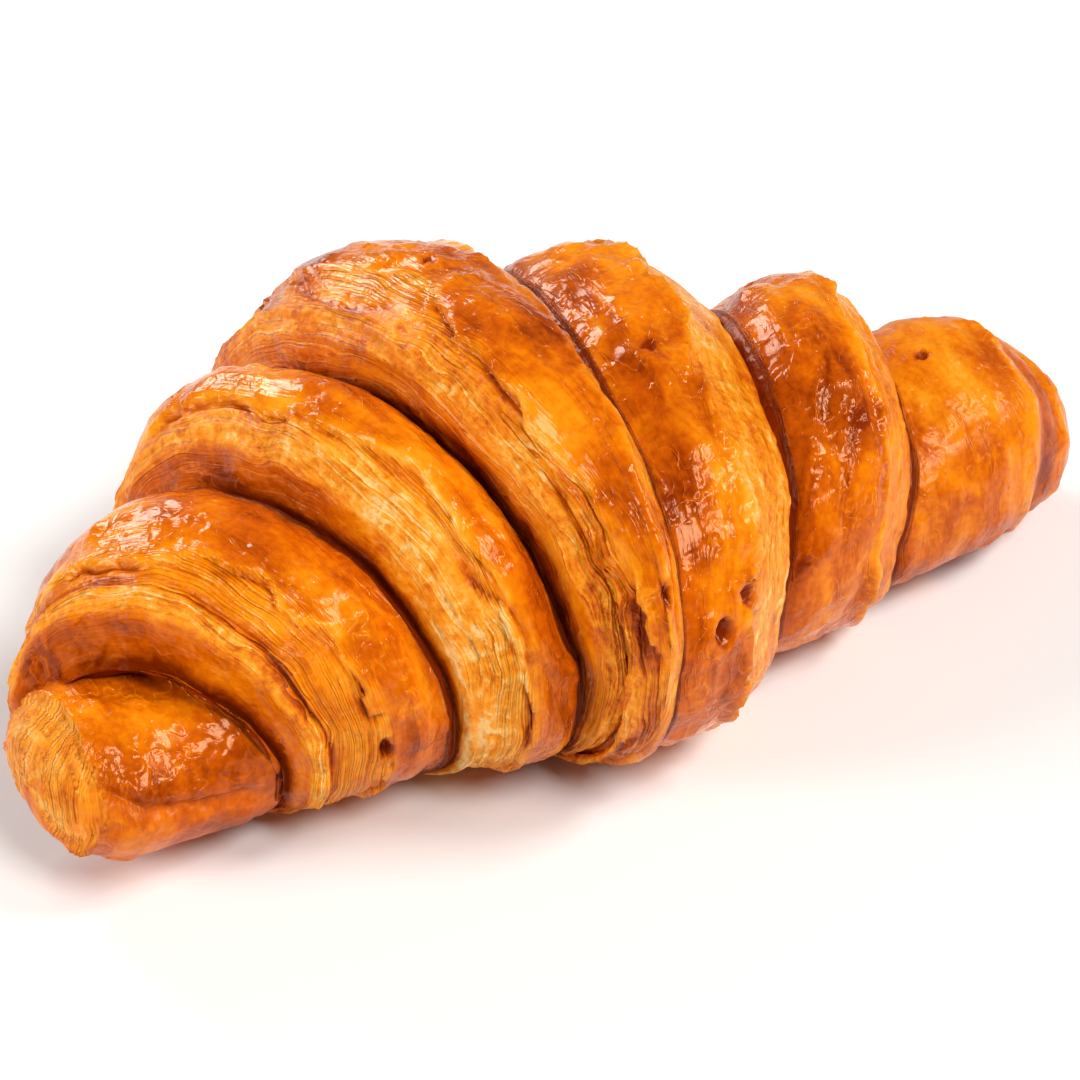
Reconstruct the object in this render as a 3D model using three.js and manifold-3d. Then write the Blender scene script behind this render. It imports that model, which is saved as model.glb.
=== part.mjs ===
// A butter croissant: a long triangle of laminated dough, rolled up from its wide edge to its point,
// bent a little and baked in one piece. Millimetres, +Z up, standing on its flat sole at z = 0, with
// the roll lying along X and the origin under the middle of its bounding box.
import * as THREE from "three";
import { mergeVertices } from "three/addons/utils/BufferGeometryUtils.js";
import Module from "manifold-3d";

const wasm = await Module();
wasm.setup();

// Driving dimensions. Lengths along the roll are measured on its bent centre line, from the thickest
// place, negative towards the near horn and positive towards the far horn.
const FAR_HORN = 82.5; // its end
const BEND = 0.0036; // how fast the centre line turns at the middle, in radians a millimetre
const BEND_CHANGE = 0.00013; // how fast that falls towards the far horn, which bends less
const EDGES = [-58.7, -38.1, -22.4, 0.25, 25.9, 48]; // where each cut edge of the dough crosses the top
const NEAR_WINDING = 27.5; // how far a cut edge moves along the roll in one turn, near half
const FAR_WINDING = 35.2; // the same on the far half
const TONGUE_WIDTH = 7; // the point of the triangle, where it is tucked under the front
const NEAR_LIFT = 7; // the horns curl up off the tray
const FAR_LIFT = 2.3;
const LIFT_REACH = 74.4; // the distance from the middle at which a horn has its full lift

// The seven turns that show, from the near horn to the far horn: half-width where each begins and
// ends, and its height against its neighbours'.
const TURNS = [
  { begin: 12.5, end: 12.5, height: 1.0 },
  { begin: 17.4, end: 22.6, height: 1.0 },
  { begin: 26.3, end: 29.5, height: 1.02 },
  { begin: 36.4, end: 40.6, height: 0.96 },
  { begin: 37.0, end: 28.2, height: 0.97 },
  { begin: 24.2, end: 20.8, height: 1.06 },
  { begin: 17.4, end: 14.0, height: 0.99 },
];
const PUFF = 0.148; // how much each turn swells between its edges
const MIDDLE_HEIGHT = 0.666; // height of the upper half of a section against its half-width
const HORN_HEIGHT = 0.9225; // the same at the horns, which are rounder
const LOWER_HALF = 0.92; // the lower half is a little shallower than the upper
const SOLE_FLATNESS = 0.7; // power of the lower half's curve: 1 is round, 0 is square
const SOLE_DEPTH = 1.4; // how much of the round underside the tray has pressed flat
const FAR_BLUNTNESS = 2.7; // power of the far horn's rounding: 2 is a ball, more is blunter
const FAR_END_RAISE = 0.45; // where its end is: 0 is on the tray, 1 at the middle of the horn's height

// The near horn is a squat knob that turns out of the line of the roll: its middle, the way that its
// blunt end points, and its half-sizes. Squareness 1 is a ball and less is blunter.
const KNOB = {
  middle: new THREE.Vector3(-59.5, -8.5, 11),
  end: new THREE.Vector3(-1, -0.11, 0.22).normalize(),
  halfLength: 15,
  halfWidth: 14,
  halfHeight: 10.4,
  squareness: 0.74,
  sweep: THREE.MathUtils.degToRad(117), // how far round from its end the knob's own shape goes
  neck: 0.55, // the step along it from which it runs into the roll
};
const TONGUE_THINNING = 0.15; // the tongue thins towards its tucked point, as a share of its half-width

// A cut edge in section, from the crevice at its foot up its wall and over its rim: distance inwards
// over the upper turn, the same where the sole presses it flat, and level between the lower turn (0)
// and the upper one (1).
const LIP = [
  { inwards: -1.6, pressed: -1.8, level: 0.03 },
  { inwards: 0.0, pressed: -0.9, level: -0.1 },
  { inwards: 0.3, pressed: 0.0, level: 0.32 },
  { inwards: 0.4, pressed: 0.8, level: 0.7 },
  { inwards: 0.9, pressed: 1.4, level: 0.94 },
  { inwards: 2.2, pressed: 2.8, level: 1.0 },
];
const MIDDLE_EDGE = 3; // edges before this one face the near horn, and the rest face the far one
const MIDDLE_TURN = 3; // the turn between the two kinds of edge, which ends in the tongue

// Places round the roll, as shares of the way round from the middle of the sole (see shareRound).
const SOLE_SIDE = { flat: 0.03, clear: 0.13 }; // a lip is pressed flat up to here, and free from here
const SOLE_STRAIGHT = 0.1; // under the sole the edges stop winding, so that they close on themselves
const TONGUE = { tip: 0.08, root: 0.36 }; // where the tongue is thinnest, and where it has thinned

// Steps along each turn at which there is a ring of points.
const FAR_HORN_STEPS = [0.15, 0.28, 0.42, 0.56, 0.7, 0.82, 0.91, 0.97, 1];
const KNOB_STEPS = [0, 0.06, 0.14, 0.24, 0.35, 0.46, 0.57, 0.68, 0.78, 0.88];
const TURN_STEPS = [0.18, 0.34, 0.5, 0.66, 0.82];
const AROUND = 44; // points round each ring

const smooth = (from, to, x) => THREE.MathUtils.smoothstep(x, from, to);

// The centre line: heading and place at a distance along it, summed in short straight steps.
function centreLine() {
  const STEP = 0.5;
  const heading = (s) => -(BEND * s - 0.5 * BEND_CHANGE * s * s);
  return (s) => {
    const place = new THREE.Vector2();
    const count = Math.max(1, Math.round(Math.abs(s) / STEP));
    for (let i = 0; i < count; i++) {
      const angle = heading((s * (i + 0.5)) / count);
      place.x += (Math.cos(angle) * s) / count;
      place.y += (Math.sin(angle) * s) / count;
    }
    return { place, heading: heading(s) };
  };
}
const onCentreLine = centreLine();

// Share of the way round: 0 under the sole, 0.25 at the front, 0.5 on top, 0.75 at the back.
const shareRound = (angle) => THREE.MathUtils.euclideanModulo(0.75 - angle / (2 * Math.PI), 1);
const offSole = (from, to, share) => smooth(from, to, share) * (1 - smooth(1 - to, 1 - from, share));

// Where edge number k crosses the roll at a share of the way round. The edges wind like screw
// threads of opposite hands, and the tongue between the middle two keeps a least width.
function edgePlace(k, share) {
  const winding = (share - 0.5) * offSole(0, SOLE_STRAIGHT, share);
  const wound = (i) => EDGES[i] + winding * (i < MIDDLE_EDGE ? -NEAR_WINDING : FAR_WINDING);
  const near = wound(MIDDLE_EDGE - 1);
  const far = wound(MIDDLE_EDGE);
  const spread = Math.max(0, TONGUE_WIDTH - (far - near)) / 2;
  return wound(k) + (k < MIDDLE_EDGE ? -spread : spread);
}

// One point of the crust: along the roll, its half-width there, its height factor and its angle.
function crustPoint(s, halfWidth, height, angle) {
  const { place, heading } = onCentreLine(s);
  const towardsHorn = Math.min(1, Math.abs(s) / LIFT_REACH);
  const lift = (s < 0 ? NEAR_LIFT : FAR_LIFT) * towardsHorn ** 2;
  const rise = THREE.MathUtils.lerp(MIDDLE_HEIGHT, HORN_HEIGHT, towardsHorn) * height * halfWidth;
  const across = halfWidth * Math.cos(angle);
  const sine = Math.sin(angle);
  const up = sine > 0 ? rise * sine : -rise * LOWER_HALF * (-sine) ** SOLE_FLATNESS;
  return new THREE.Vector3(
    place.x - Math.sin(heading) * across,
    place.y + Math.cos(heading) * across,
    lift + rise * LOWER_HALF + up - SOLE_DEPTH,
  );
}

// The middle turn loses its thickness from the front down to the sole, where its point is tucked in.
const thinning = (share) => 1 - TONGUE_THINNING * (1 - smooth(TONGUE.tip, TONGUE.root, share));

const LAST_TURN = TURNS.length - 1;

// Half-width of a turn at a share t of its length. Every turn but the knob is puffed up.
function halfWidthAt(turn, t) {
  const { begin, end } = TURNS[turn];
  const swell = turn === 0 ? 0 : PUFF * 4 * t * (1 - t);
  return THREE.MathUtils.lerp(begin, end, t) * (1 + swell);
}

// Each ring is a function from an angle to a point of the crust.
function turnRing(turn, t) {
  const full = halfWidthAt(turn, t);
  const halfWidth = turn === LAST_TURN ? full * Math.sqrt(1 - t ** FAR_BLUNTNESS) : full;
  const raised = (full - halfWidth) * HORN_HEIGHT * LOWER_HALF * FAR_END_RAISE;
  return (angle) => {
    const share = shareRound(angle);
    const from = edgePlace(turn - 1, share);
    const to = turn === LAST_TURN ? FAR_HORN : edgePlace(turn, share);
    const thinned = turn === MIDDLE_TURN ? halfWidth * thinning(share) : halfWidth;
    const s = THREE.MathUtils.lerp(from, to, t);
    const point = crustPoint(s, thinned, TURNS[turn].height, angle);
    return point.setZ(point.z + raised);
  };
}

function knobRing(t) {
  const back = KNOB.end.clone().cross(new THREE.Vector3(0, 0, 1)).normalize();
  const up = back.clone().cross(KNOB.end);
  const rounded = (x) => Math.sign(x) * Math.abs(x) ** KNOB.squareness;
  const along = rounded(Math.cos(t * KNOB.sweep)) * KNOB.halfLength;
  const round = rounded(Math.sin(t * KNOB.sweep));
  const neck = smooth(KNOB.neck, 1, t);
  return (angle) => {
    const own = KNOB.middle
      .clone()
      .addScaledVector(KNOB.end, along)
      .addScaledVector(back, KNOB.halfWidth * round * Math.cos(angle))
      .addScaledVector(up, KNOB.halfHeight * round * Math.sin(angle));
    const { end, height } = TURNS[0];
    return own.lerp(crustPoint(edgePlace(0, shareRound(angle)), end, height, angle), neck);
  };
}

// How long a turn is on top. The knob is not puffed up, so its length makes no difference.
function turnLength(turn) {
  if (turn === 0) return KNOB.halfLength * 2;
  return (turn === LAST_TURN ? FAR_HORN : EDGES[turn]) - EDGES[turn - 1];
}

function lipRing(k, { inwards, pressed, level }) {
  const facesNear = k < MIDDLE_EDGE;
  const [upper, lower] = facesNear ? [k + 1, k] : [k, k + 1];
  const intoUpper = Math.max(inwards, 0) / turnLength(upper);
  const intoLower = Math.max(-inwards, 0) / turnLength(lower);
  const rim = halfWidthAt(upper, facesNear ? intoUpper : 1 - intoUpper);
  const foot = halfWidthAt(lower, facesNear ? 1 - intoLower : intoLower);
  const height = THREE.MathUtils.lerp(TURNS[lower].height, TURNS[upper].height, level);
  return (angle) => {
    const share = shareRound(angle);
    const thinned = upper === MIDDLE_TURN ? rim * thinning(share) : rim;
    const halfWidth = THREE.MathUtils.lerp(foot, thinned, level);
    const free = offSole(SOLE_SIDE.flat, SOLE_SIDE.clear, share);
    const offset = THREE.MathUtils.lerp(pressed, inwards, free);
    const s = edgePlace(k, share) + (facesNear ? offset : -offset);
    return crustPoint(s, halfWidth, height, angle);
  };
}

function allRings() {
  const rings = [];
  TURNS.forEach((_, turn) => {
    const isFarHorn = turn === LAST_TURN;
    if (turn === 0) KNOB_STEPS.forEach((t) => rings.push(knobRing(t)));
    else (isFarHorn ? FAR_HORN_STEPS : TURN_STEPS).forEach((t) => rings.push(turnRing(turn, t)));
    if (isFarHorn) return;
    const lip = turn < MIDDLE_EDGE ? LIP : [...LIP].reverse();
    lip.forEach((row) => rings.push(lipRing(turn, row)));
  });
  return rings;
}

// A sphere has the right faces for this: two poles for the horns' ends and a row for each ring.
function crustGeometry() {
  const rings = allRings();
  const sphere = new THREE.SphereGeometry(1, AROUND, rings.length - 1);
  const position = sphere.getAttribute("position");
  rings.forEach((ring, row) => {
    for (let column = 0; column <= AROUND; column++) {
      const angle = -((column % AROUND) / AROUND) * 2 * Math.PI;
      const point = ring(angle);
      position.setXYZ(row * (AROUND + 1) + column, point.x, point.y, point.z);
    }
  });
  return sphere;
}

const SAME_PLACE = 1e-4; // corners closer than this are one corner

// manifold-3d solids from closed geometries, and back.
function solidOf(geometry) {
  const bare = geometry.clone();
  bare.deleteAttribute("normal");
  bare.deleteAttribute("uv");
  const merged = mergeVertices(bare, SAME_PLACE);
  return new wasm.Manifold(
    new wasm.Mesh({
      numProp: 3,
      vertProperties: merged.attributes.position.array,
      triVerts: new Uint32Array(merged.index.array),
    }),
  );
}

function geometryOf(solid) {
  const { vertProperties, triVerts } = solid.getMesh();
  return new THREE.BufferGeometry()
    .setAttribute("position", new THREE.BufferAttribute(vertProperties, 3))
    .setIndex(new THREE.BufferAttribute(triVerts, 1));
}

// The tray below z = 0 presses the underside flat, which leaves the sole that it stands on.
function croissant() {
  const TRAY = 400;
  const tray = new THREE.BoxGeometry(TRAY, TRAY, TRAY).translate(0, 0, -TRAY / 2);
  const baked = geometryOf(solidOf(crustGeometry()).subtract(solidOf(tray)));
  baked.computeBoundingBox();
  const middle = baked.boundingBox.getCenter(new THREE.Vector3());
  baked.translate(-middle.x, -middle.y, 0);
  baked.computeVertexNormals();
  const crust = new THREE.MeshStandardMaterial({ color: 0xd9740f, roughness: 0.38, metalness: 0 });
  const mesh = new THREE.Mesh(baked, crust);
  mesh.name = "croissant";
  return mesh;
}

const part = new THREE.Group();
part.add(croissant());
export default part;
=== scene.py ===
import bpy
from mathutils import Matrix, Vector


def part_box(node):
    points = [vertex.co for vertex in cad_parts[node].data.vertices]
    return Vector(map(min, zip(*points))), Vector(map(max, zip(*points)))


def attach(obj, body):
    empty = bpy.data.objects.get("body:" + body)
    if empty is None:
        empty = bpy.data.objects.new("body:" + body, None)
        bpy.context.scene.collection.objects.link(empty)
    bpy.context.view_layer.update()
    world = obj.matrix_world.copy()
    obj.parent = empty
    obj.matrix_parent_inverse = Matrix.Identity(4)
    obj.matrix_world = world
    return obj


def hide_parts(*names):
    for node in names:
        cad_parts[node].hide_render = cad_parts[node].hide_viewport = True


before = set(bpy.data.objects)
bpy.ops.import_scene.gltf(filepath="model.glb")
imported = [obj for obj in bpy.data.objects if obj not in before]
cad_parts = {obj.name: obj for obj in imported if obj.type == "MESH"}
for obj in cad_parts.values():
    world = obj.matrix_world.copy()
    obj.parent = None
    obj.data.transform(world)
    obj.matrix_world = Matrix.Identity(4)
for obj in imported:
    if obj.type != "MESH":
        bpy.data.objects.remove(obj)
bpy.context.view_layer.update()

import math

import bmesh
import bpy
import numpy as np
from mathutils import Vector, noise

# ------------------------------------------------------------------------------------------------
# The croissant. A triangle of butter-folded dough is rolled up from its wide edge to its point, so its
# two cut edges wind round it as steps. It is bent a little and baked in one piece, which puffs up
# every turn between its edges and opens the cut layers. Sizes are in mm.
# ------------------------------------------------------------------------------------------------
ROLL_LENGTH = 157.06  # from end to end, with the horns bent
low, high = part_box("croissant")
MM = (high.x - low.x) / ROLL_LENGTH
THICKEST = Vector((-3.85, -0.88, 0.0))  # the thickest place on the bent centre line

BEND = 0.0036  # how fast the centre line turns at its thickest place, radians a mm
BEND_CHANGE = 0.00013  # the near half bends more than the far half
FAR_END = 82.5  # where the far horn ends, along the roll
EDGES = (-58.7, -38.1, -22.4, 0.25, 25.9, 48.0)  # where the cut edges cross the top, along the roll
NEAR_WINDING = 27.5  # how far an edge climbs towards the middle in one turn
FAR_WINDING = 35.2
TONGUE_WIDTH = 7.0  # of the dough's point, which ends under the front
TONGUE_THINNING = 0.15  # the share of its half-width that the middle turn loses there
NEAR_LIFT, FAR_LIFT, LIFT_REACH = 7.0, 2.3, 74.4  # how far the horns rise, and at what distance
# half-width where each turn that shows begins and ends, and its height against its neighbours'
TURNS = (
    (12.5, 12.5, 1.00),
    (17.4, 22.6, 1.00),
    (26.3, 29.5, 1.02),
    (36.4, 40.6, 0.96),
    (37.0, 28.2, 0.97),
    (24.2, 20.8, 1.06),
    (17.4, 14.0, 0.99),
)
MIDDLE = 3  # edges before this one face the near horn, and the rest face the far one
LAST = len(TURNS) - 1
PUFF = 0.148  # how much a turn swells between its edges
MIDDLE_HEIGHT, HORN_HEIGHT, LOWER_HALF = 0.666, 0.9225, 0.92  # shares of the half-width
SOLE_FLATNESS, SOLE_DEPTH = 0.7, 1.4  # the power of the underside's curve, and how far it is sunk
FAR_BLUNTNESS, FAR_END_RAISE = 2.7, 0.45  # how blunt the far horn ends, and how far it closes upwards

AROUND = 196  # points round each ring, closer together on the top than under the sole
SOLE_SPREAD = 0.35
column = (np.arange(AROUND) + 0.5) / AROUND
SHARE = column + SOLE_SPREAD * np.sin(2 * np.pi * column) / (2 * np.pi)  # 0 sole, .25 front, .5 top
ANGLE = (0.75 - SHARE) * 2 * np.pi  # 0 at the back, a quarter turn on top


def ease(start, end, x):
    """0 before start and 1 after end, with a smooth way between them."""
    t = np.clip((x - start) / (end - start), 0, 1)
    return t * t * (3 - 2 * t)


def lumps(places, size, seed, stretch=(1, 1, 1)):
    """Smooth noise from about -1 to 1 at places in mm, with lumps of the given size in mm."""
    scaled = places.reshape(-1, 3) / (size * np.array(stretch)) + seed * 13.7
    return np.array([noise.noise(p) for p in scaled.tolist()]).reshape(places.shape[:-1])


LINE_REACH, LINE_STEP = 110, 0.25
line_along = np.arange(-LINE_REACH, LINE_REACH + LINE_STEP, LINE_STEP)
line_heading = -(BEND * line_along - BEND_CHANGE * line_along**2 / 2)
line_x = np.cumsum(np.cos(line_heading)) * LINE_STEP
line_y = np.cumsum(np.sin(line_heading)) * LINE_STEP
line_x = line_x - np.interp(0, line_along, line_x)
line_y = line_y - np.interp(0, line_along, line_y)


def crust(s, half_width, height):
    """Points of one ring: s mm along the roll at each angle, with its half-width there."""
    towards_horn = np.minimum(1, np.abs(s) / LIFT_REACH)
    lift = np.where(s < 0, NEAR_LIFT, FAR_LIFT) * towards_horn**2
    rise = (MIDDLE_HEIGHT + (HORN_HEIGHT - MIDDLE_HEIGHT) * towards_horn) * height * half_width
    across = half_width * np.cos(ANGLE)
    sine = np.sin(ANGLE)
    up = np.where(sine > 0, rise * sine, -rise * LOWER_HALF * np.abs(sine) ** SOLE_FLATNESS)
    heading = np.interp(s, line_along, line_heading)
    x = np.interp(s, line_along, line_x) - np.sin(heading) * across + THICKEST.x
    y = np.interp(s, line_along, line_y) + np.cos(heading) * across + THICKEST.y
    return np.stack([x, y, lift + rise * LOWER_HALF + up - SOLE_DEPTH], axis=-1)


off_sole = ease(0.03, 0.13, SHARE) * (1 - ease(0.87, 0.97, SHARE))
winding = (SHARE - 0.5) * ease(0, 0.1, SHARE) * (1 - ease(0.9, 1, SHARE))
tongue_thickness = 1 - TONGUE_THINNING * (1 - ease(0.08, 0.36, SHARE))
ROUND_ROLL = 30 * np.stack([np.cos(ANGLE), np.sin(ANGLE), np.zeros(AROUND)], axis=-1)


def edge_place(k):
    """Where edge k crosses the roll at each angle. It wavers a little, as a hand-rolled one does."""
    wound = [e + winding * (-NEAR_WINDING if i < MIDDLE else FAR_WINDING) for i, e in enumerate(EDGES)]
    spread = np.maximum(0, TONGUE_WIDTH - (wound[MIDDLE] - wound[MIDDLE - 1])) / 2
    waver = 0.7 * lumps(ROUND_ROLL, 18, 3 + k) + 0.35 * lumps(ROUND_ROLL, 6, 13 + k)
    return wound[k] + np.where(k < MIDDLE, -spread, spread) + waver * off_sole


edge = [edge_place(k) for k in range(len(EDGES))]

# Rings are gathered from the near horn to the far one. Each keeps its points and, for each point, how
# many mm it is inland of its turn's near edge and of its far one, how far up a lip it is (0 in the
# crevice, 1 on the rim and everywhere else), the number of its turn, and the roll's half-width.
FAR_OFF = 99  # mm, for a place with no such edge
rings = []


def add_ring(points, from_near, from_far, up_lip, turn, half_width):
    """Adds one ring with its values, each for the whole ring or for every point of it."""
    values = (from_near, from_far, up_lip, turn, half_width)
    rings.append([points] + [np.broadcast_to(v, AROUND) for v in values])


# The near horn is a squat knob that turns out of the line of the roll. Its blunt end is where the
# roll was cut off, and it shows the layers on edge.
KNOB_MIDDLE = Vector((-59.5, -8.5, 11.0)) + THICKEST
KNOB_END = Vector((-1, -0.11, 0.22)).normalized()
KNOB_HALF = Vector((15, 14, 10.4))  # half its length, width and height
KNOB_SQUARENESS = 0.74
KNOB_SWEEP = math.radians(117)
KNOB_NECK = 0.55  # the share of its length where it starts to run into the roll
KNOB_LENGTH = 30.0
KNOB_SHOWN = 0.94  # the share of it that stands out of the first crevice
KNOB_RINGS = 60
knob_back = KNOB_END.cross(Vector((0, 0, 1))).normalized()
knob_up = knob_back.cross(KNOB_END)
neck = crust(edge[0], TURNS[0][1], TURNS[0][2])
for i in range(KNOB_RINGS):
    t = KNOB_SHOWN * i / (KNOB_RINGS - 1)
    along = math.cos(t * KNOB_SWEEP)
    along = math.copysign(abs(along) ** KNOB_SQUARENESS, along)
    reach = abs(math.sin(t * KNOB_SWEEP)) ** KNOB_SQUARENESS
    own = (
        np.array(KNOB_MIDDLE + KNOB_END * KNOB_HALF.x * along)
        + np.outer(np.cos(ANGLE) * KNOB_HALF.y * reach, knob_back)
        + np.outer(np.sin(ANGLE) * KNOB_HALF.z * reach, knob_up)
    )
    into_neck = ease(KNOB_NECK, 1, t)
    points = own * (1 - into_neck) + neck * into_neck
    add_ring(points, t * KNOB_LENGTH, (1 - t) * KNOB_LENGTH, 1, 0, KNOB_HALF.y)

# A lip in section, from the crevice up its wall and over its rim: mm inwards over the upper turn, the
# same where the sole presses it flat, and level between the lower turn and the upper one.
LIP = (
    (-1.6, -1.8, 0.03),
    (-0.6, -1.4, 0.00),
    (0.0, -0.9, -0.12),
    (0.3, -0.6, -0.06),
    (0.3, -0.3, 0.12),
    (0.3, 0.0, 0.32),
    (0.3, 0.3, 0.52),
    (0.4, 0.8, 0.70),
    (0.6, 1.1, 0.85),
    (0.9, 1.4, 0.94),
    (1.3, 1.8, 0.99),
    (1.8, 2.2, 1.01),
    (2.2, 2.8, 1.00),
)
LIP_START, LIP_END = LIP[0][0], LIP[-1][0]
WALL_FOOT, WALL_TOP = 1.5, 9.5  # rows of the section between which its wall rises
LIP_RINGS = 26
CLOSE_STEP, WIDE_STEP = 0.36, 0.82  # between rings where the layers show, and on the smooth skin
CLOSE_REACH = 12.0  # how far inland the rings stay close
FAR_CLOSE = 0.7  # the share of that beside the far edges, where fewer layers show
TIP_START, TIP = 0.97, (0.975, 0.985, 0.993, 0.998, 1)  # the far horn's last rings, shares of its length


def turn_width(b):
    """How far turn b reaches along the roll."""
    return (FAR_END if b == LAST else EDGES[b]) - EDGES[b - 1] if b else KNOB_LENGTH


def half_width_at(b, t):
    """Half-width of turn b at a share t of its way from its near edge to its far one."""
    begin, end, _ = TURNS[b]
    puffed = 1 + (PUFF * 4 * t * (1 - t) if b else 0)
    return (begin + (end - begin) * t) * puffed * (tongue_thickness if b == MIDDLE else 1)


def add_lip(k):
    """The rings of the lip along edge k. Its rim and foot keep the puffed shape of their turns."""
    near = k < MIDDLE
    upper, lower = (k + 1, k) if near else (k, k + 1)
    section = np.array(LIP)
    steps = np.linspace(0, len(LIP) - 1, LIP_RINGS)
    for step in steps if near else steps[::-1]:
        inwards, pressed, level = (np.interp(step, range(len(LIP)), section[:, i]) for i in range(3))
        offset = pressed + (inwards - pressed) * off_sole
        inside, outside = max(inwards, 0) / turn_width(upper), max(-inwards, 0) / turn_width(lower)
        rim = half_width_at(upper, inside if near else 1 - inside)
        foot = half_width_at(lower, 1 - outside if near else outside)
        half_width = foot + (rim - foot) * level
        height = TURNS[lower][2] + (TURNS[upper][2] - TURNS[lower][2]) * level
        points = crust(edge[k] + (offset if near else -offset), half_width, height)
        inland = (offset, FAR_OFF) if near else (edge[k] - edge[k - 1] - offset, offset)
        add_ring(points, *inland, ease(WALL_FOOT, WALL_TOP, step), upper, half_width)


def add_turn(b):
    """The rings of turn b between its lips. The last turn closes in the far horn's blunt point."""
    last = b == LAST
    width = turn_width(b)
    cut_near, cut_far = b <= MIDDLE, MIDDLE <= b and not last
    stops, goal = [LIP_END if cut_near else -LIP_START], width - (LIP_END if cut_far else -LIP_START)
    while stops[-1] < goal:
        s = stops[-1]
        close = (cut_near and s < CLOSE_REACH) or (cut_far and width - s < CLOSE_REACH * FAR_CLOSE)
        stops.append(s + (CLOSE_STEP if close else WIDE_STEP))
    stops = stops[1:-1]
    if last:
        stops = [s for s in stops if s < width * TIP_START] + [width * t for t in TIP]
    for s in stops:
        t = s / width
        full = half_width_at(b, t)
        half_width = full * (math.sqrt(1 - t**FAR_BLUNTNESS) if last else 1)
        start, finish = edge[b - 1], FAR_END if last else edge[b]
        at = start + (finish - start) * t
        points = crust(at, half_width, TURNS[b][2])
        points[:, 2] += (full - half_width) * HORN_HEIGHT * LOWER_HALF * FAR_END_RAISE
        add_ring(points, at - start, finish - at, 1, b, half_width)


for b in range(1, len(TURNS)):
    add_lip(b - 1)
    add_turn(b)

place, from_near, from_far, up_lip, turn, radius = (np.array(v, float) for v in zip(*rings))
ROWS = len(place)
along_row = np.gradient(place, axis=0)
along_column = np.roll(place, -1, axis=1) - np.roll(place, 1, axis=1)
outwards = np.cross(along_row, along_column)
outwards /= np.linalg.norm(outwards, axis=-1, keepdims=True) + 1e-9
if np.sum((place - place.mean(axis=1, keepdims=True)) * outwards) < 0:
    outwards = -outwards

# The sheet of dough has its own directions, in mm: inland from the cut edge, up a lip's wall on the
# way, and round the roll.
WALL_HEIGHT = 4.5
FAR_START = 60  # the far turns count down from here to their far edge
cut_near = (turn <= MIDDLE) & ((from_near <= from_far) | (turn < MIDDLE))
cut_far = (turn >= MIDDLE) & (turn < LAST) & ~cut_near
inland = np.where(cut_near, from_near, np.where(cut_far, from_far, FAR_OFF))
by_edge = inland < FAR_OFF
down_wall = WALL_HEIGHT * (1 - up_lip) * by_edge
from_cut = np.where(turn > MIDDLE, FAR_START - from_far, from_near) - down_wall
sheet = np.stack([from_cut, radius * np.cos(ANGLE), radius * np.sin(ANGLE)], axis=-1)
on_top = np.broadcast_to(off_sole, (ROWS, AROUND))
share = np.broadcast_to(SHARE, (ROWS, AROUND))
shown = ease(0.74, 1.0, up_lip)  # 1 outside the lips' walls
wall = (1 - shown) * by_edge
ALONG_EDGE = (9, 1, 1)  # stretches lumps inland, so that they only change along an edge


def by_turn(*values):
    """At every point, its own turn's value out of one for the knob and one for each turn after it."""
    return np.array(values)[turn.astype(int)]


# The glazed skin tears back from each cut edge by the mm given here, and the layers under it show as
# thin steps.
near_tear = by_turn(11.5, 4.6, 3.2, 3.0, 0, 0, 0)
far_tear = by_turn(0, 0, 0, 5.0, 11.5, 6.0, 0)
skin_back = np.where(cut_near, near_tear, far_tear)
skin_back += by_turn(0, 3.6, 2.4, 0, 0, 0, 0) * (1 - ease(0.40, 0.52, share))
tongue_tear = 4.0 * ease(0.40, 0.54, share) + 1.2 * (1 - ease(0.24, 0.36, share))
skin_back += (turn == MIDDLE) * cut_near * tongue_tear
tear = 0.38 * lumps(sheet, 16, 1, ALONG_EDGE) + 0.3 * lumps(sheet, 5, 2, (4, 1, 1))
tear = tear + 0.12 * lumps(sheet, 2.2, 3)
skin_back *= 1 + tear * np.where(turn == 0, 0.4, np.where(cut_far, 0.6, 1))
bare = (1 - ease(-0.5, 0.1, inland - skin_back)) * shown * on_top * (cut_near | cut_far)
bare *= np.where(turn == 0, 1, ease(0.1, 0.9, inland))
past_tear = np.maximum(inland - skin_back, 0)
SKIN_THICKNESS = 0.42
skin_rise = SKIN_THICKNESS * (1 - bare) * np.exp(-past_tear / 4) * by_edge * shown * on_top

# Mm from one layer's edge to the next: on the near turns, on the far ones and on the knob's end.
LAYER_PITCH, FAR_LAYER_PITCH, END_LAYER_PITCH = 0.95, 1.9, 1.5
waver = 1.5 * lumps(sheet, 17, 4, (0.8, 1, 1)) + 0.5 * lumps(sheet, 5, 5, (0.6, 1, 1))
leaf = (inland + waver - down_wall) / np.where(cut_near, LAYER_PITCH, FAR_LAYER_PITCH)
# On the knob's end the layers stand side by side, bowed towards the front.
on_end = place - np.array(KNOB_MIDDLE)
bowed = -on_end @ np.array(knob_back) + 0.03 * (on_end @ np.array(knob_up)) ** 2
bowed = bowed + 2.6 * lumps(place, 8, 30) + 0.5 * lumps(place, 2.5, 31)
leaf = np.where(turn == 0, bowed / END_LAYER_PITCH, leaf)
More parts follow.
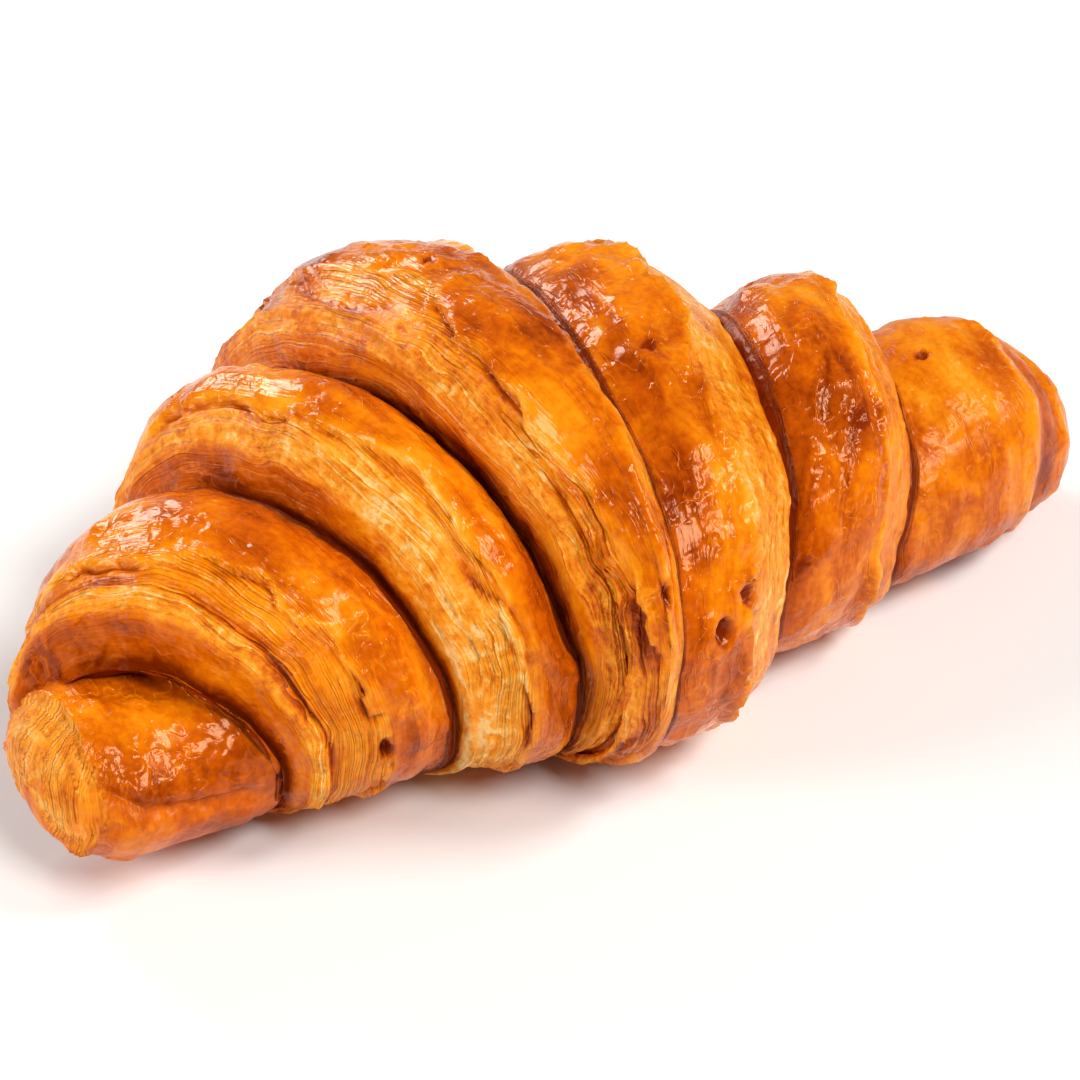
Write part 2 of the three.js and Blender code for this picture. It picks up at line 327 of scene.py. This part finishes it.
# Each layer rises at its edge and slopes down to a gap, more in some places than in others.
number, within = np.floor(leaf), leaf - np.floor(leaf)
own_place = np.stack([number * 3.1 + turn * 7.0, sheet[..., 1] / 13, sheet[..., 2] / 13], axis=-1)
leaf_lift = np.clip(0.5 + 1.1 * lumps(own_place, 1, 6), 0.0, 1.1)
step_up = ease(0, 0.16, within) * (1 - within) ** 1.3 - 0.4 * ease(0.76, 0.94, within)
layer_step = np.where(cut_near, by_turn(0.3, 0.42, 0.5, 0.5, 0, 0, 0), 0.15)
layers_out = bare * leaf_lift * step_up * layer_step
on_wall = wall * cut_near * ease(0.1, 0.4, up_lip) * on_top * by_turn(0, 0.15, 0.3, 0.55, 0, 0, 0)
layers_out += on_wall * (leaf_lift * step_up + 0.8 * lumps(sheet, 4, 39, (1, 3, 3)))

# The lowest layer swells into a pale, pebbly roll along the lip, with a groove behind it.
roll_width = np.where(cut_near, by_turn(0.01, 1.7, 2.2, 1.8, 0, 0, 0), 1.8)
roll_width = roll_width + 1.7 * (turn == 2) * (1 - ease(0.42, 0.56, share))
roll_width = roll_width + 1.4 * (turn == MIDDLE) * ease(0.4, 0.5, share)
roll_width = roll_width * (1 + 0.5 * lumps(sheet, 15, 7, ALONG_EDGE) + 0.15 * lumps(sheet, 4, 8, ALONG_EDGE))
round_section = np.clip(1 - ((inland - roll_width * 0.35) / roll_width) ** 2, 0, 1)
roll = round_section * shown * on_top * (turn > 0)
GROOVE_WIDTH, GROOVE_DEPTH = 0.4, 0.55
groove = np.exp(-(((inland - roll_width * 1.25) / GROOVE_WIDTH) ** 2)) * shown * on_top * (turn > 0)
groove *= np.clip(by_turn(0, 0.8, 0.4, 0.4, 0, 0, 0) + 1.4 * lumps(sheet, 8, 9, ALONG_EDGE), 0, 1)
pebbles = lumps(place, 3.2, 32) + 0.7 * lumps(place, 1.5, 36)
fatness = np.clip(0.25 + 0.6 * lumps(sheet, 14, 34, ALONG_EDGE), 0.0, 0.5)
fatness = fatness + 0.3 * (turn == 1)
layers_out += np.where(cut_near, fatness, 0.15) * roll * (1 + 0.8 * pebbles)
layers_out -= GROOVE_DEPTH * cut_near * groove

# The torn edge of the skin stands up a little. Here and there it curls, with a gap under it that
# the colour darkens as painted shade.
torn_edge = np.exp(-(((inland - skin_back) / np.where(cut_far, 0.8, 0.6)) ** 2)) * shown * on_top
layers_out += torn_edge * (0.5 * cut_far + 0.4 * cut_far * (turn == 4) + 0.45 * (turn == 0))
curling = ease(-0.1, 0.3, lumps(sheet, 11, 37, ALONG_EDGE))
under_skin = np.exp(-(((inland - skin_back + 0.45) / 0.35) ** 2)) * shown * on_top
under_skin *= (cut_near & (turn > 0)) | (cut_far & (turn == 4))
under_skin *= curling
layers_out -= 0.7 * under_skin
skin_rise *= 1 + 0.8 * curling

# The skin itself is uneven: long lumps, creases between puffs, blisters, and wrinkles along the roll.
glazed = (1 - bare) * shown
puffs = lumps(sheet, 9, 10, (1, 2.2, 2.2))
creases = np.exp(-((puffs / 0.10) ** 2)) * ease(0, 0.3, lumps(place, 14, 11))
wrinkles = lumps(sheet, 2.8, 12, (1, 3, 3))
blisters = ease(0.30, 0.55, lumps(place, 6.5, 13)) + 0.5 * ease(0.3, 0.5, lumps(place, 3.2, 14))
swell = 0.7 * lumps(place, 17, 15) + 0.4 * lumps(place, 8, 16)
skin_out = glazed * (0.6 * np.abs(puffs) - 0.4 * creases + 0.25 * wrinkles + 0.5 * blisters)
# A long crease runs down the front of the knob, with duller, paler dough below it.
CREASE_DEPTH, CREASE_WIDTH = 1.1, 0.013  # mm, and a share of the way round
crease_share = 0.34 - 0.009 * (from_near - 11) + 0.03 * lumps(sheet, 9, 33)
along_knob = (turn == 0) * ease(8, 13, from_near) * (1 - ease(22, 27, from_near))
skin_out -= CREASE_DEPTH * np.exp(-(((share - crease_share) / CREASE_WIDTH) ** 2)) * along_knob
below_crease = (turn == 0) * (1 - ease(-0.01, 0.02, share - crease_share)) * (share < 0.5)
fine_out = 0.13 * lumps(place, 2.2, 17) + 0.12 * lumps(place, 1.2, 18) * (bare + roll)
out = (swell * shown + skin_out + fine_out) * (0.25 + 0.75 * on_top) + layers_out + skin_rise
out += 0.25 * lumps(place, 3.5, 19) * (1 - shown) * on_top
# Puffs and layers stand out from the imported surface, so the skin starts a little inside it.
from_crevice = np.where(turn < MIDDLE, from_far, np.where(turn > MIDDLE, from_near, FAR_OFF))
inside = by_turn(0.7, 0.9, 0.9, 0.6, 0.6, 0.6, 0.5) * shown
out -= inside * (1 - np.exp(-np.maximum(from_crevice, 0) / 4))

# Holes where steam burst a blister: turn, share of the way round, mm from the turn's near edge, and
# the hole's radius and depth in mm. Each has a low rim, and is taller than it is wide.
STEAM_HOLES = (
    (4, 0.277, 8.0, 1.3, 2.4),
    (4, 0.293, 13.0, 1.2, 2.2),
    (3, 0.308, 6.4, 1.0, 1.4),
    (4, 0.461, 9.1, 0.9, 0.9),
    (3, 0.539, 12.4, 1.0, 0.9),
    (1, 0.238, 8.8, 0.9, 1.4),
    (6, 0.488, 7.5, 1.1, 1.0),
    (5, 0.382, 12.3, 0.9, 0.9),
    (2, 0.640, 6.0, 1.0, 1.0),
    (4, 0.700, 12.0, 1.2, 1.6),
    (5, 0.620, 9.0, 0.9, 1.0),
)
HOLE_TALLNESS = 0.6
painted_hole_shade = np.zeros((ROWS, AROUND))
for hole_turn, hole_share, hole_near, hole_radius, hole_depth in STEAM_HOLES:
    miss = np.abs(from_near - hole_near) + 200 * np.abs(share - hole_share) + 1000 * (turn != hole_turn)
    apart = (place - place.reshape(-1, 3)[np.argmin(miss)]) * (1, 1, HOLE_TALLNESS)
    apart = np.linalg.norm(apart, axis=-1) / (0.75 * hole_radius)
    apart *= 1 + 0.3 * lumps(place, 2, 35)
    hollow = np.exp(-(apart**3))
    painted_hole_shade = np.maximum(painted_hole_shade, hollow)
    out += hole_depth * (0.2 * np.exp(-(((apart - 1.7) / 0.5) ** 2)) - 1.2 * hollow)

# The far horn's end shows two low folds round it, with a hollow between them.
FOLD_HEIGHT = 0.5
round_horn = from_near / np.maximum(from_near + from_far, 1) + 0.02 * lumps(place, 9, 38)
folds = np.exp(-(((round_horn - 0.55) / 0.030) ** 2)) + 0.8 * np.exp(-(((round_horn - 0.74) / 0.035) ** 2))
folds = (folds - 0.9 * np.exp(-(((round_horn - 0.63) / 0.035) ** 2))) * (turn == LAST) * on_top
out += FOLD_HEIGHT * folds

# How far each place is baked, 0 for pale dough and 1 for the darkest crust; painted shade and painted
# highlights are added to the same value further down. The tops of the turns bake most. The torn layers
# stay paler, and the roll along the lip palest.
bake_and_painted_light = by_turn(0.78, 0.64, 0.60, 0.72, 0.64, 0.68, 0.62) + 0.26 * lumps(place, 15, 20)
bake_and_painted_light = bake_and_painted_light + 0.16 * lumps(sheet, 5, 21, (1, 2.2, 2.2)) - 0.2 * below_crease
# Painted shade: the far turns are darker beside the crevice at their near edge.
bake_and_painted_light += 0.16 * (turn > MIDDLE) * np.exp(-from_near / 6) * (1 - bare)
bake_and_painted_light -= 0.10 * np.exp(-past_tear / 2.5) * by_edge
bare_bake = by_turn(0.34, 0.48, 0.48, 0.44, 0.40, 0.46, 0.4) + 0.14 * lumps(sheet, 9, 22)
bare_bake += 0.22 * (turn == MIDDLE) * cut_near * (1 - ease(0.24, 0.45, share))
bake_and_painted_light += (bare_bake - bake_and_painted_light) * bare
roll_bake = by_turn(0, 0.22, 0.10, 0.36, 0.36, 0.36, 0) + 0.15 * lumps(sheet, 12, 23, ALONG_EDGE)
roll_bake += 0.25 * (turn == 2) * ease(0.44, 0.54, share)
bake_and_painted_light += (roll_bake - bake_and_painted_light) * roll**0.5 * np.where(cut_near, 0.9, 0.4)
# The walls have their own dark crust. On it, a wall's upper front is painted lighter, partly for the paler
# laminated dough and partly as painted light, and the middle turn's wall foot is darker as painted shade
# from the crevice.
wall_bake_and_light = np.where(cut_near, by_turn(0, 0.84, 0.74, 0.50, 0, 0, 0), 0.8) + 0.1 * lumps(sheet, 7, 24)
on_front = 1 - ease(0.38, 0.5, share)
wall_bake_and_light -= on_front * ease(0.2, 0.6, up_lip) * by_turn(0, 0.2, 0.55, 0.05, 0, 0, 0) * cut_near
wall_bake_and_light += 0.3 * (turn == MIDDLE) * (1 - ease(0.35, 0.65, up_lip)) * cut_near
bake_and_painted_light += (wall_bake_and_light - bake_and_painted_light) * wall
# Painted shade: both sides of a crevice are darkened, and so are the steam holes, the gap under a
# curled skin edge, the groove behind the roll and the foot of each lip, where shade falls in them.
bake_and_painted_light += 0.3 * np.exp(-from_far / 1.5) * (turn < MIDDLE) + 0.3 * np.exp(-from_near / 1.5) * (turn > MIDDLE)
# A painted glint: the torn edge of the skin is made paler, as a thin line catching the light.
painted_glint_edge = np.exp(-((past_tear / 0.5) ** 2)) * by_edge * (inland > skin_back - 0.4) * (turn > 0)
bake_and_painted_light -= 0.25 * painted_glint_edge * shown * on_top
bake_and_painted_light += 0.35 * under_skin + 1.5 * painted_hole_shade + 0.45 * groove * cut_near + 0.4 * (1 - ease(0.0, 0.4, up_lip))
# The far turns are streaked along the roll, and their tops are painted paler as a painted sheen. The far
# horn's folds are pale, with the hollow between them darker.
bake_and_painted_light += 0.14 * lumps(sheet, 4, 25, (1, 9, 9)) * (turn > MIDDLE)
bake_and_painted_light -= 0.14 * (turn > MIDDLE) * ease(0.44, 0.54, share) * (1 - ease(0.62, 0.72, share))
bake_and_painted_light += 0.04 * (turn == LAST) * ease(10, 20, from_near) - 0.24 * np.maximum(folds, -0.5)

# How wet the egg wash looks, 1 for the glossiest.
dull_layers = np.clip(bare * by_turn(0.5, 0.3, 0.3, 0.15, 0.4, 0.4, 0) + roll * 0.5, 0, 1)
gloss = 1 - dull_layers * np.where(cut_near, 1, 0.6)
gloss -= 0.3 * (turn == LAST) + 0.4 * wall * (turn != 1) + 0.2 * (turn > MIDDLE) * ease(0.46, 0.56, share)
gloss += 0.5 * np.minimum(folds, 0)
gloss *= (0.35 + 0.65 * on_top) * (1 - 0.5 * below_crease)

place = place + outwards * out[..., None]
place[0], place[-1] = place[0].mean(axis=0), place[-1].mean(axis=0)

# The tray presses flat everything that would reach below it.
PRESS = 0.35
squeezed = PRESS * np.exp((np.minimum(place[..., 2], PRESS) - PRESS) / PRESS)
place[..., 2] = np.where(place[..., 2] < PRESS, squeezed, place[..., 2])

# The rings are laid on a ball of dough that has one row of points for each of them.
dough = bmesh.new()
bmesh.ops.create_uvsphere(dough, u_segments=AROUND, v_segments=ROWS - 1, radius=1)
mesh = bpy.data.meshes.new("baked_croissant")
dough.to_mesh(mesh)
dough.free()
ball = np.empty(len(mesh.vertices) * 3)
mesh.vertices.foreach_get("co", ball)
ball = ball.reshape(-1, 3)
row = np.rint(np.arccos(np.clip(ball[:, 2], -1, 1)) / math.pi * (ROWS - 1)).astype(int)
col = np.rint(np.arctan2(ball[:, 1], ball[:, 0]) / (2 * math.pi) * AROUND).astype(int) % AROUND
mesh.vertices.foreach_set("co", (place[row, col] * MM).ravel())
mesh.polygons.foreach_set("use_smooth", np.ones(len(mesh.polygons), bool))


def paint(name, values, kind="FLOAT"):
    """Keeps one value, or one vector, for each point of the crust under a name."""
    kept = mesh.attributes.new(name, kind, "POINT")
    flat = np.ascontiguousarray(values[row, col], np.float32).ravel()
    kept.data.foreach_set("value" if kind == "FLOAT" else "vector", flat)


under_glaze = 0.45 * np.exp(-past_tear / 3) * (1 - bare) * shown * on_top * by_edge
layers = bare + under_glaze + by_turn(0, 0.15, 0.4, 0.8, 0, 0, 0) * wall
pebbly = np.maximum(roll, 0.8 * wall * on_front * (turn == 2) * ease(0.2, 0.6, up_lip)) * cut_near
paint("bake_and_painted_light", bake_and_painted_light)
paint("gloss", gloss)
paint("bare", bare)
paint("layers", layers * np.where(cut_near, 1, 0.15))
paint("pebbly", np.maximum(pebbly, 0.8 * bare * cut_far * (turn == 4)))
paint("leaf", leaf)
paint("sheet", sheet, "FLOAT_VECTOR")
mesh.update()

croissant = bpy.data.objects.new("baked_croissant", mesh)
bpy.context.scene.collection.objects.link(croissant)


def srgb(code):
    """A colour given as sRGB hex, as linear numbers with alpha."""
    parts = [int(code[i : i + 2], 16) / 255 for i in (1, 3, 5)]
    return [c / 12.92 if c <= 0.04045 else ((c + 0.055) / 1.055) ** 2.4 for c in parts] + [1.0]


# Egg-washed crust. Its colour depends on one value, how far it is baked with painted shade and
# painted highlights added in, from pale butter dough to dark caramel, so one scale of colours serves
# for all of it. The wash bakes to a thin wet-looking gloss over the skin, and misses the torn layers,
# which stay paler and dull.
BAKING = (
    (0.0, "#FFCB7C"),
    (0.12, "#FFAC3E"),
    (0.30, "#F79412"),
    (0.50, "#E87A04"),
    (0.70, "#CC5A02"),
    (1.0, "#8A2C00"),
)
crust_look = bpy.data.materials.new("egg_washed_crust")
crust_look.use_nodes = True
tree = crust_look.node_tree
tree.nodes.clear()
MATHS, RANGE, NOISE = "ShaderNodeMath", "ShaderNodeMapRange", "ShaderNodeTexNoise"
MAPPING, ATTRIBUTE = "ShaderNodeMapping", "ShaderNodeAttribute"


def node(kind, inputs=(), **settings):
    """Adds one node with its settings. Its inputs, by name or in order, are values or sockets to link."""
    made = tree.nodes.new(kind)
    for name, value in settings.items():
        setattr(made, name, value)
    for key, value in inputs.items() if isinstance(inputs, dict) else enumerate(inputs):
        if isinstance(value, bpy.types.NodeSocket):
            tree.links.new(value, made.inputs[key])
        else:
            made.inputs[key].default_value = value
    return made.outputs


bake_and_painted_light_at = node(ATTRIBUTE, attribute_name="bake_and_painted_light")["Fac"]
gloss_at = node(ATTRIBUTE, attribute_name="gloss")["Fac"]
bare_at = node(ATTRIBUTE, attribute_name="bare")["Fac"]
layers_at = node(ATTRIBUTE, attribute_name="layers")["Fac"]
pebbly_at = node(ATTRIBUTE, attribute_name="pebbly")["Fac"]
leaf_at = node(ATTRIBUTE, attribute_name="leaf")["Fac"]
sheet_at = node(ATTRIBUTE, attribute_name="sheet")["Vector"]
object_at = node("ShaderNodeTexCoord")["Object"]

# On the sheet, in mm: patches 5 wide and 11 long, streaks 0.6 wide and 8 long that follow the roll,
# breaks in the layer lines 2 wide and 10 long, curls of glaze 3 wide and 6 long, and wrinkles under it.
at = node(MAPPING, {"Vector": sheet_at, "Scale": (0.2, 0.09, 0.09)})["Vector"]
patches = {"Vector": at, "Scale": 1.0, "Detail": 4.0, "Roughness": 0.52, "Distortion": 0.8}
patches = node(NOISE, patches)["Fac"]
at = node(MAPPING, {"Vector": sheet_at, "Scale": (1.6, 0.12, 0.12)})["Vector"]
streaks = node(NOISE, {"Vector": at, "Scale": 1.0, "Detail": 3.0, "Roughness": 0.6})["Fac"]
at = node(MAPPING, {"Vector": sheet_at, "Scale": (0.45, 0.10, 0.10), "Location": (7, 3, 5)})["Vector"]
broken = node(NOISE, {"Vector": at, "Scale": 1.0, "Detail": 2.0})["Fac"]
at = node(MAPPING, {"Vector": sheet_at, "Scale": (0.34, 0.16, 0.16)})["Vector"]
flake = node(NOISE, {"Vector": at, "Scale": 1.0, "Detail": 1.5, "Distortion": 1.2})["Fac"]
at = node(MAPPING, {"Vector": sheet_at, "Scale": (0.45, 0.16, 0.16)})["Vector"]
wrinkle = {"Vector": at, "Scale": 1.0, "Detail": 3.0, "Distortion": 0.6}
wrinkle = node(NOISE, wrinkle, noise_type="RIDGED_MULTIFRACTAL")["Fac"]
# All round each place: specks under 1 mm, a grain of about 1 mm, and soft beads of about 2 mm.
specks = node(NOISE, {"Vector": object_at, "Scale": 1 / 0.0009, "Detail": 2.0})["Fac"]
grain = node(NOISE, {"Vector": object_at, "Scale": 1 / 0.0011, "Detail": 3.0, "Roughness": 0.6})["Fac"]
beads = node(NOISE, {"Vector": object_at, "Scale": 1 / 0.0021, "Detail": 1.0, "Distortion": 0.4})["Fac"]
beads = {"Value": beads, "From Min": 0.40, "From Max": 0.72}
beads = node(RANGE, beads, interpolation_type="SMOOTHSTEP")["Result"]

# Each layer's edge is a thin line, with a gap under the next one and finer gaps between. These make
# the bump, and in the colour the edge is lightened as a painted highlight and the gaps are darkened as
# painted shade.
bent_leaf = node(MATHS, (streaks, 0.8, leaf_at), operation="MULTIPLY_ADD")[0]
in_leaf = node(MATHS, (bent_leaf,), operation="FRACT")[0]
pale_line = {"Value": in_leaf, "From Min": 0.0, "From Max": 0.22, "To Min": 1.0, "To Max": 0.0}
pale_line = node(RANGE, pale_line)["Result"]
gap = node(RANGE, {"Value": in_leaf, "From Min": 0.78, "From Max": 0.96})["Result"]
fine_leaf = node(MATHS, (bent_leaf, 2.7), operation="MULTIPLY")[0]
in_fine_leaf = node(MATHS, (fine_leaf,), operation="FRACT")[0]
fine_gap = node(RANGE, {"Value": in_fine_leaf, "From Min": 0.6, "From Max": 0.95})["Result"]
in_view = node(RANGE, {"Value": broken, "From Min": 0.34, "From Max": 0.5})["Result"]
drawn = node(MATHS, (layers_at, in_view), operation="MULTIPLY")[0]
painted_layer_light = node(MATHS, (fine_gap, 0.14), operation="MULTIPLY")[0]
painted_layer_light = node(MATHS, (gap, 0.20, painted_layer_light), operation="MULTIPLY_ADD")[0]
painted_layer_light = node(MATHS, (pale_line, -0.28, painted_layer_light), operation="MULTIPLY_ADD")[0]

# Thin flakes of glaze curl up along crooked lines, where the wash is glossy and baked dark. In the
# colour they are lightened as a painted glint, where their edges would catch the light.
flake = node(MATHS, (flake, 0.5), operation="SUBTRACT")[0]
flake = node(MATHS, (flake,), operation="ABSOLUTE")[0]
curled = {"Value": flake, "From Min": 0.0, "From Max": 0.05, "To Min": 1.0, "To Max": 0.0}
curled = node(MATHS, (node(RANGE, curled)["Result"], 2.0), operation="POWER")[0]
curled = node(MATHS, (curled, gloss_at), operation="MULTIPLY")[0]
in_patch = node(RANGE, {"Value": patches, "From Min": 0.45, "From Max": 0.58})["Result"]
curled = node(MATHS, (curled, in_patch), operation="MULTIPLY")[0]

# Each pattern, less its middle value, moves the colour along the scale by its share. The layer lines
# and the curled flakes add painted highlights and painted shade this way; the rest are the crust's
# own patches, specks, grain, beads and streaks.
grain_bake = node(MATHS, (pebbly_at, -0.9), operation="MULTIPLY")[0]
bead_bake = node(MATHS, (pebbly_at, -0.22), operation="MULTIPLY")[0]
streak_bake = node(MATHS, (bare_at, 0.3, 0.12), operation="MULTIPLY_ADD")[0]
bake_with_painted_light = bake_and_painted_light_at
for pattern, middle, amount in (
    (painted_layer_light, 0.0, drawn),
    (patches, 0.5, 1.15),
    (specks, 0.5, 0.35),
    (grain, 0.5, grain_bake),
    (beads, 0.3, bead_bake),
    (curled, 0.0, -0.2),
    (streaks, 0.5, streak_bake),
):
    pattern = node(MATHS, (pattern, middle), operation="SUBTRACT")[0]
    bake_with_painted_light = node(MATHS, (pattern, amount, bake_with_painted_light), operation="MULTIPLY_ADD")[0]
crust_colour = node("ShaderNodeValToRGB", {"Fac": bake_with_painted_light})["Color"]
stops = tree.nodes[-1].color_ramp.elements
stops[0].position, stops[0].color = BAKING[0][0], srgb(BAKING[0][1])
stops[1].position, stops[1].color = BAKING[-1][0], srgb(BAKING[-1][1])
for position, colour in BAKING[1:-1]:
    stops.new(position).color = srgb(colour)

# Heights in mm: layer edges, curled flakes, beads, wrinkles under the glaze, and a fine grain.
height = node(MATHS, (fine_gap, 0.12), operation="MULTIPLY")[0]
height = node(MATHS, (gap, 0.14, height), operation="MULTIPLY_ADD")[0]
line_height = node(MATHS, (pale_line, 0.16), operation="MULTIPLY")[0]
height = node(MATHS, (line_height, height), operation="SUBTRACT")[0]
height = node(MATHS, (height, drawn), operation="MULTIPLY")[0]
bead_height = {"Value": broken, "From Min": 0.40, "From Max": 0.56, "To Min": 0.04, "To Max": 0.16}
bead_height = node(RANGE, bead_height)["Result"]
grain_height = node(MATHS, (bare_at, 0.10, 0.03), operation="MULTIPLY_ADD")[0]
grain_height = node(MATHS, (pebbly_at, 0.36, grain_height), operation="MULTIPLY_ADD")[0]
pebbly_height = node(MATHS, (pebbly_at, 0.12), operation="MULTIPLY")[0]
for pattern, tall in (
    (curled, 0.10),
    (beads, bead_height),
    (wrinkle, 0.10),
    (grain, grain_height),
    (beads, pebbly_height),
    (specks, 0.02),
    (streaks, 0.07),
):
    height = node(MATHS, (pattern, tall, height), operation="MULTIPLY_ADD")[0]
relief = node("ShaderNodeBump", {"Height": height, "Strength": 1.0, "Distance": 0.001})["Normal"]

# The wash is duller where a patch has baked darker.
dull = node(MATHS, (patches, 0.5), operation="SUBTRACT")[0]
dull = node(MATHS, (dull, -0.25, gloss_at), operation="MULTIPLY_ADD")[0]
rough = {"Value": dull, "From Min": 0.1, "From Max": 0.95, "To Min": 0.58, "To Max": 0.14}
rough = node(RANGE, rough)["Result"]
crust = {"Base Color": crust_colour, "Roughness": rough, "Normal": relief}
crust |= {"IOR": 1.42, "Specular Tint": srgb("#FFD2A4")}  # butter fat, which warms what it reflects
node("ShaderNodeOutputMaterial", {"Surface": node("ShaderNodeBsdfPrincipled", crust)["BSDF"]})
mesh.materials.append(crust_look)

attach(croissant, "root")
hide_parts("croissant")

# ------------------------------------------------------------------------------------------------
# The table, light and camera. The table is a plain top covered with white paper. Big soft lights
# stand all round it, and the camera looks down at the croissant from the front and left.
# ------------------------------------------------------------------------------------------------
TABLE = 3.0  # m
top = bmesh.new()
bmesh.ops.create_grid(top, x_segments=1, y_segments=1, size=TABLE / 2)
table_mesh = bpy.data.meshes.new("table")
top.to_mesh(table_mesh)
top.free()
table = bpy.data.objects.new("table", table_mesh)
bpy.context.scene.collection.objects.link(table)
# Uncoated white paper, which looks flat and even and has next to no shine.
paper = bpy.data.materials.new("white_paper")
paper.use_nodes = True
paper.node_tree.nodes["Principled BSDF"].inputs["Base Color"].default_value = srgb("#F4F2EF")
paper.node_tree.nodes["Principled BSDF"].inputs["Roughness"].default_value = 0.9
table_mesh.materials.append(paper)


def aim(thing, azimuth, elevation, distance, target):
    """Puts a thing at a distance from its target and turns it to face it. Azimuth 0 is the front."""
    a, e = math.radians(azimuth), math.radians(elevation)
    back = Vector((math.sin(a) * math.cos(e), -math.cos(a) * math.cos(e), math.sin(e)))
    thing.location = Vector(target) + back * distance
    thing.rotation_euler = back.to_track_quat("Z", "Y").to_euler()


LIGHT_DISTANCE, LIGHT_TARGET = 0.9, (0, 0, 0.02)


def soft_light(name, azimuth, elevation, size, power):
    """A round white light of a width in metres and a power in watts."""
    lamp = bpy.data.lights.new(name, "AREA")
    lamp.shape, lamp.size, lamp.energy = "DISK", size, power
    holder = bpy.data.objects.new(name, lamp)
    bpy.context.scene.collection.objects.link(holder)
    aim(holder, azimuth, elevation, LIGHT_DISTANCE, LIGHT_TARGET)


soft_light("key", azimuth=12, elevation=50, size=0.36, power=5.2)
soft_light("behind", azimuth=-172, elevation=28, size=0.42, power=4.2)
soft_light("left", azimuth=-95, elevation=24, size=0.36, power=4.1)
soft_light("right", azimuth=56, elevation=50, size=0.27, power=3.5)

world = bpy.data.worlds.new("studio")
world.use_nodes = True
world.node_tree.nodes["Background"].inputs["Color"].default_value = srgb("#FFFFFF")
world.node_tree.nodes["Background"].inputs["Strength"].default_value = 0.10
bpy.context.scene.world = world
bpy.context.scene.view_settings.view_transform = "Standard"

FOCAL_LENGTH, SENSOR_WIDTH = 79.17, 36.0  # mm
camera = bpy.data.objects.new("camera", bpy.data.cameras.new("camera"))
camera.data.lens, camera.data.sensor_width = FOCAL_LENGTH, SENSOR_WIDTH
bpy.context.scene.collection.objects.link(camera)
aim(camera, azimuth=-29.7, elevation=34.42, distance=0.302, target=(-0.00557, -0.00029, 0.0164))
bpy.context.scene.camera = camera
